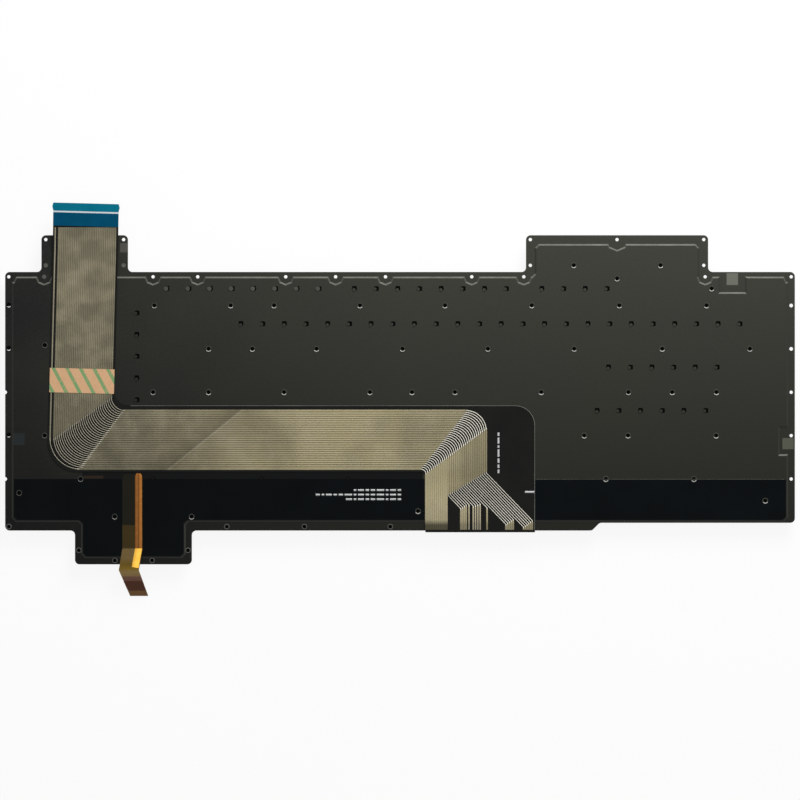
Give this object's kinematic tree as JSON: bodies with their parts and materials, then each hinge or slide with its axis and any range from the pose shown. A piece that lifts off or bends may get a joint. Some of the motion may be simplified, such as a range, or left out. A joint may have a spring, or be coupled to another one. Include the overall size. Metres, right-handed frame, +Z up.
{
  "type": "laptop keyboard module",
  "caption": "Laptop keyboard module lying on its keys, with a stamped back plate, a raised pan, a folded membrane tail, a backlight flex and keys that travel on scissor links.",
  "frame": {"origin": "under the middle of the module's bounding box, on the surface that the key crowns rest on", "axes": "+X along the key rows towards the escape key's end, +Y from the space bar to the function row, +Z up out of the back plate"},
  "size_m": [0.346, 0.1725, 0.0081],
  "materials": {
    "plate_paint": "dark grey coating on stamped steel sheet",
    "support_metal": "bare rolled sheet",
    "guide_sheet": "light guide under a black masking sheet",
    "black_film": "thin black insulating film",
    "circuit_film": "polyester film with printed silver tracks",
    "blue_stiffener": "blue polyester stiffener",
    "tape_liner": "tan release liner on adhesive tape",
    "amber_film": "amber polyimide film over copper",
    "brown_stiffener": "dark brown polyimide stiffener",
    "dome_rubber": "translucent silicone",
    "link_plastic": "white engineering plastic",
    "key_plastic": "fine matt black"
  },
  "bodies": {
    "module": {"back_plate": "plate_paint", "backlight_flex": "amber_film", "cover_film": "black_film", "flex_stiffener": "brown_stiffener", "joined_keys": "key_plastic", "light_guide": "guide_sheet", "membrane_circuit": "circuit_film", "rubber_domes": "dome_rubber", "scissor_links": "link_plastic", "support_plate": "support_metal", "tail_stiffener": "blue_stiffener", "tail_tape": "tape_liner"},
    "key_0": {"key_0": "key_plastic"},
    "key_1": {"key_1": "key_plastic"},
    "key_2": {"key_2": "key_plastic"},
    "key_3": {"key_3": "key_plastic"},
    "key_4": {"key_4": "key_plastic"},
    "key_5": {"key_5": "key_plastic"},
    "key_6": {"key_6": "key_plastic"},
    "key_7": {"key_7": "key_plastic"},
    "key_8": {"key_8": "key_plastic"},
    "key_9": {"key_9": "key_plastic"},
    "key_a": {"key_a": "key_plastic"},
    "key_b": {"key_b": "key_plastic"},
    "key_backslash": {"key_backslash": "key_plastic"},
    "key_bracket_close": {"key_bracket_close": "key_plastic"},
    "key_bracket_open": {"key_bracket_open": "key_plastic"},
    "key_c": {"key_c": "key_plastic"},
    "key_comma": {"key_comma": "key_plastic"},
    "key_d": {"key_d": "key_plastic"},
    "key_e": {"key_e": "key_plastic"},
    "key_equals": {"key_equals": "key_plastic"},
    "key_f": {"key_f": "key_plastic"},
    "key_g": {"key_g": "key_plastic"},
    "key_grave": {"key_grave": "key_plastic"},
    "key_h": {"key_h": "key_plastic"},
    "key_i": {"key_i": "key_plastic"},
    "key_j": {"key_j": "key_plastic"},
    "key_k": {"key_k": "key_plastic"},
    "key_l": {"key_l": "key_plastic"},
    "key_m": {"key_m": "key_plastic"},
    "key_minus": {"key_minus": "key_plastic"},
    "key_n": {"key_n": "key_plastic"},
    "key_o": {"key_o": "key_plastic"},
    "key_p": {"key_p": "key_plastic"},
    "key_period": {"key_period": "key_plastic"},
    "key_q": {"key_q": "key_plastic"},
    "key_quote": {"key_quote": "key_plastic"},
    "key_r": {"key_r": "key_plastic"},
    "key_s": {"key_s": "key_plastic"},
    "key_semicolon": {"key_semicolon": "key_plastic"},
    "key_slash": {"key_slash": "key_plastic"},
    "key_space": {"key_space": "key_plastic"},
    "key_t": {"key_t": "key_plastic"},
    "key_u": {"key_u": "key_plastic"},
    "key_v": {"key_v": "key_plastic"},
    "key_w": {"key_w": "key_plastic"},
    "key_x": {"key_x": "key_plastic"},
    "key_y": {"key_y": "key_plastic"},
    "key_z": {"key_z": "key_plastic"}
  },
  "joints": [
    {"name": "key_0_travel", "type": "slide", "parent": "module", "child": "key_0", "axis": [0, 0, 1], "range_m": [0, 0.0018], "stiffness_N_per_m": 250, "springref_m": -0.0006, "deforming": ["rubber_domes", "scissor_links"]},
    {"name": "key_1_travel", "type": "slide", "parent": "module", "child": "key_1", "axis": [0, 0, 1], "range_m": [0, 0.0018], "stiffness_N_per_m": 250, "springref_m": -0.0006, "deforming": ["rubber_domes", "scissor_links"]},
    {"name": "key_2_travel", "type": "slide", "parent": "module", "child": "key_2", "axis": [0, 0, 1], "range_m": [0, 0.0018], "stiffness_N_per_m": 250, "springref_m": -0.0006, "deforming": ["rubber_domes", "scissor_links"]},
    {"name": "key_3_travel", "type": "slide", "parent": "module", "child": "key_3", "axis": [0, 0, 1], "range_m": [0, 0.0018], "stiffness_N_per_m": 250, "springref_m": -0.0006, "deforming": ["rubber_domes", "scissor_links"]},
    {"name": "key_4_travel", "type": "slide", "parent": "module", "child": "key_4", "axis": [0, 0, 1], "range_m": [0, 0.0018], "stiffness_N_per_m": 250, "springref_m": -0.0006, "deforming": ["rubber_domes", "scissor_links"]},
    {"name": "key_5_travel", "type": "slide", "parent": "module", "child": "key_5", "axis": [0, 0, 1], "range_m": [0, 0.0018], "stiffness_N_per_m": 250, "springref_m": -0.0006, "deforming": ["rubber_domes", "scissor_links"]},
    {"name": "key_6_travel", "type": "slide", "parent": "module", "child": "key_6", "axis": [0, 0, 1], "range_m": [0, 0.0018], "stiffness_N_per_m": 250, "springref_m": -0.0006, "deforming": ["rubber_domes", "scissor_links"]},
    {"name": "key_7_travel", "type": "slide", "parent": "module", "child": "key_7", "axis": [0, 0, 1], "range_m": [0, 0.0018], "stiffness_N_per_m": 250, "springref_m": -0.0006, "deforming": ["rubber_domes", "scissor_links"]},
    {"name": "key_8_travel", "type": "slide", "parent": "module", "child": "key_8", "axis": [0, 0, 1], "range_m": [0, 0.0018], "stiffness_N_per_m": 250, "springref_m": -0.0006, "deforming": ["rubber_domes", "scissor_links"]},
    {"name": "key_9_travel", "type": "slide", "parent": "module", "child": "key_9", "axis": [0, 0, 1], "range_m": [0, 0.0018], "stiffness_N_per_m": 250, "springref_m": -0.0006, "deforming": ["rubber_domes", "scissor_links"]},
    {"name": "key_a_travel", "type": "slide", "parent": "module", "child": "key_a", "axis": [0, 0, 1], "range_m": [0, 0.0018], "stiffness_N_per_m": 250, "springref_m": -0.0006, "deforming": ["rubber_domes", "scissor_links"]},
    {"name": "key_b_travel", "type": "slide", "parent": "module", "child": "key_b", "axis": [0, 0, 1], "range_m": [0, 0.0018], "stiffness_N_per_m": 250, "springref_m": -0.0006, "deforming": ["rubber_domes", "scissor_links"]},
    {"name": "key_backslash_travel", "type": "slide", "parent": "module", "child": "key_backslash", "axis": [0, 0, 1], "range_m": [0, 0.0018], "stiffness_N_per_m": 250, "springref_m": -0.0006, "deforming": ["rubber_domes", "scissor_links"]},
    {"name": "key_bracket_close_travel", "type": "slide", "parent": "module", "child": "key_bracket_close", "axis": [0, 0, 1], "range_m": [0, 0.0018], "stiffness_N_per_m": 250, "springref_m": -0.0006, "deforming": ["rubber_domes", "scissor_links"]},
    {"name": "key_bracket_open_travel", "type": "slide", "parent": "module", "child": "key_bracket_open", "axis": [0, 0, 1], "range_m": [0, 0.0018], "stiffness_N_per_m": 250, "springref_m": -0.0006, "deforming": ["rubber_domes", "scissor_links"]},
    {"name": "key_c_travel", "type": "slide", "parent": "module", "child": "key_c", "axis": [0, 0, 1], "range_m": [0, 0.0018], "stiffness_N_per_m": 250, "springref_m": -0.0006, "deforming": ["rubber_domes", "scissor_links"]},
    {"name": "key_comma_travel", "type": "slide", "parent": "module", "child": "key_comma", "axis": [0, 0, 1], "range_m": [0, 0.0018], "stiffness_N_per_m": 250, "springref_m": -0.0006, "deforming": ["rubber_domes", "scissor_links"]},
    {"name": "key_d_travel", "type": "slide", "parent": "module", "child": "key_d", "axis": [0, 0, 1], "range_m": [0, 0.0018], "stiffness_N_per_m": 250, "springref_m": -0.0006, "deforming": ["rubber_domes", "scissor_links"]},
    {"name": "key_e_travel", "type": "slide", "parent": "module", "child": "key_e", "axis": [0, 0, 1], "range_m": [0, 0.0018], "stiffness_N_per_m": 250, "springref_m": -0.0006, "deforming": ["rubber_domes", "scissor_links"]},
    {"name": "key_equals_travel", "type": "slide", "parent": "module", "child": "key_equals", "axis": [0, 0, 1], "range_m": [0, 0.0018], "stiffness_N_per_m": 250, "springref_m": -0.0006, "deforming": ["rubber_domes", "scissor_links"]},
    {"name": "key_f_travel", "type": "slide", "parent": "module", "child": "key_f", "axis": [0, 0, 1], "range_m": [0, 0.0018], "stiffness_N_per_m": 250, "springref_m": -0.0006, "deforming": ["rubber_domes", "scissor_links"]},
    {"name": "key_g_travel", "type": "slide", "parent": "module", "child": "key_g", "axis": [0, 0, 1], "range_m": [0, 0.0018], "stiffness_N_per_m": 250, "springref_m": -0.0006, "deforming": ["rubber_domes", "scissor_links"]},
    {"name": "key_grave_travel", "type": "slide", "parent": "module", "child": "key_grave", "axis": [0, 0, 1], "range_m": [0, 0.0018], "stiffness_N_per_m": 250, "springref_m": -0.0006, "deforming": ["rubber_domes", "scissor_links"]},
    {"name": "key_h_travel", "type": "slide", "parent": "module", "child": "key_h", "axis": [0, 0, 1], "range_m": [0, 0.0018], "stiffness_N_per_m": 250, "springref_m": -0.0006, "deforming": ["rubber_domes", "scissor_links"]},
    {"name": "key_i_travel", "type": "slide", "parent": "module", "child": "key_i", "axis": [0, 0, 1], "range_m": [0, 0.0018], "stiffness_N_per_m": 250, "springref_m": -0.0006, "deforming": ["rubber_domes", "scissor_links"]},
    {"name": "key_j_travel", "type": "slide", "parent": "module", "child": "key_j", "axis": [0, 0, 1], "range_m": [0, 0.0018], "stiffness_N_per_m": 250, "springref_m": -0.0006, "deforming": ["rubber_domes", "scissor_links"]},
    {"name": "key_k_travel", "type": "slide", "parent": "module", "child": "key_k", "axis": [0, 0, 1], "range_m": [0, 0.0018], "stiffness_N_per_m": 250, "springref_m": -0.0006, "deforming": ["rubber_domes", "scissor_links"]},
    {"name": "key_l_travel", "type": "slide", "parent": "module", "child": "key_l", "axis": [0, 0, 1], "range_m": [0, 0.0018], "stiffness_N_per_m": 250, "springref_m": -0.0006, "deforming": ["rubber_domes", "scissor_links"]},
    {"name": "key_m_travel", "type": "slide", "parent": "module", "child": "key_m", "axis": [0, 0, 1], "range_m": [0, 0.0018], "stiffness_N_per_m": 250, "springref_m": -0.0006, "deforming": ["rubber_domes", "scissor_links"]},
    {"name": "key_minus_travel", "type": "slide", "parent": "module", "child": "key_minus", "axis": [0, 0, 1], "range_m": [0, 0.0018], "stiffness_N_per_m": 250, "springref_m": -0.0006, "deforming": ["rubber_domes", "scissor_links"]},
    {"name": "key_n_travel", "type": "slide", "parent": "module", "child": "key_n", "axis": [0, 0, 1], "range_m": [0, 0.0018], "stiffness_N_per_m": 250, "springref_m": -0.0006, "deforming": ["rubber_domes", "scissor_links"]},
    {"name": "key_o_travel", "type": "slide", "parent": "module", "child": "key_o", "axis": [0, 0, 1], "range_m": [0, 0.0018], "stiffness_N_per_m": 250, "springref_m": -0.0006, "deforming": ["rubber_domes", "scissor_links"]},
    {"name": "key_p_travel", "type": "slide", "parent": "module", "child": "key_p", "axis": [0, 0, 1], "range_m": [0, 0.0018], "stiffness_N_per_m": 250, "springref_m": -0.0006, "deforming": ["rubber_domes", "scissor_links"]},
    {"name": "key_period_travel", "type": "slide", "parent": "module", "child": "key_period", "axis": [0, 0, 1], "range_m": [0, 0.0018], "stiffness_N_per_m": 250, "springref_m": -0.0006, "deforming": ["rubber_domes", "scissor_links"]},
    {"name": "key_q_travel", "type": "slide", "parent": "module", "child": "key_q", "axis": [0, 0, 1], "range_m": [0, 0.0018], "stiffness_N_per_m": 250, "springref_m": -0.0006, "deforming": ["rubber_domes", "scissor_links"]},
    {"name": "key_quote_travel", "type": "slide", "parent": "module", "child": "key_quote", "axis": [0, 0, 1], "range_m": [0, 0.0018], "stiffness_N_per_m": 250, "springref_m": -0.0006, "deforming": ["rubber_domes", "scissor_links"]},
    {"name": "key_r_travel", "type": "slide", "parent": "module", "child": "key_r", "axis": [0, 0, 1], "range_m": [0, 0.0018], "stiffness_N_per_m": 250, "springref_m": -0.0006, "deforming": ["rubber_domes", "scissor_links"]},
    {"name": "key_s_travel", "type": "slide", "parent": "module", "child": "key_s", "axis": [0, 0, 1], "range_m": [0, 0.0018], "stiffness_N_per_m": 250, "springref_m": -0.0006, "deforming": ["rubber_domes", "scissor_links"]},
    {"name": "key_semicolon_travel", "type": "slide", "parent": "module", "child": "key_semicolon", "axis": [0, 0, 1], "range_m": [0, 0.0018], "stiffness_N_per_m": 250, "springref_m": -0.0006, "deforming": ["rubber_domes", "scissor_links"]},
    {"name": "key_slash_travel", "type": "slide", "parent": "module", "child": "key_slash", "axis": [0, 0, 1], "range_m": [0, 0.0018], "stiffness_N_per_m": 250, "springref_m": -0.0006, "deforming": ["rubber_domes", "scissor_links"]},
    {"name": "key_space_travel", "type": "slide", "parent": "module", "child": "key_space", "axis": [0, 0, 1], "range_m": [0, 0.0018], "stiffness_N_per_m": 250, "springref_m": -0.0006, "deforming": ["rubber_domes", "scissor_links"]},
    {"name": "key_t_travel", "type": "slide", "parent": "module", "child": "key_t", "axis": [0, 0, 1], "range_m": [0, 0.0018], "stiffness_N_per_m": 250, "springref_m": -0.0006, "deforming": ["rubber_domes", "scissor_links"]},
    {"name": "key_u_travel", "type": "slide", "parent": "module", "child": "key_u", "axis": [0, 0, 1], "range_m": [0, 0.0018], "stiffness_N_per_m": 250, "springref_m": -0.0006, "deforming": ["rubber_domes", "scissor_links"]},
    {"name": "key_v_travel", "type": "slide", "parent": "module", "child": "key_v", "axis": [0, 0, 1], "range_m": [0, 0.0018], "stiffness_N_per_m": 250, "springref_m": -0.0006, "deforming": ["rubber_domes", "scissor_links"]},
    {"name": "key_w_travel", "type": "slide", "parent": "module", "child": "key_w", "axis": [0, 0, 1], "range_m": [0, 0.0018], "stiffness_N_per_m": 250, "springref_m": -0.0006, "deforming": ["rubber_domes", "scissor_links"]},
    {"name": "key_x_travel", "type": "slide", "parent": "module", "child": "key_x", "axis": [0, 0, 1], "range_m": [0, 0.0018], "stiffness_N_per_m": 250, "springref_m": -0.0006, "deforming": ["rubber_domes", "scissor_links"]},
    {"name": "key_y_travel", "type": "slide", "parent": "module", "child": "key_y", "axis": [0, 0, 1], "range_m": [0, 0.0018], "stiffness_N_per_m": 250, "springref_m": -0.0006, "deforming": ["rubber_domes", "scissor_links"]},
    {"name": "key_z_travel", "type": "slide", "parent": "module", "child": "key_z", "axis": [0, 0, 1], "range_m": [0, 0.0018], "stiffness_N_per_m": 250, "springref_m": -0.0006, "deforming": ["rubber_domes", "scissor_links"]}
  ]
}
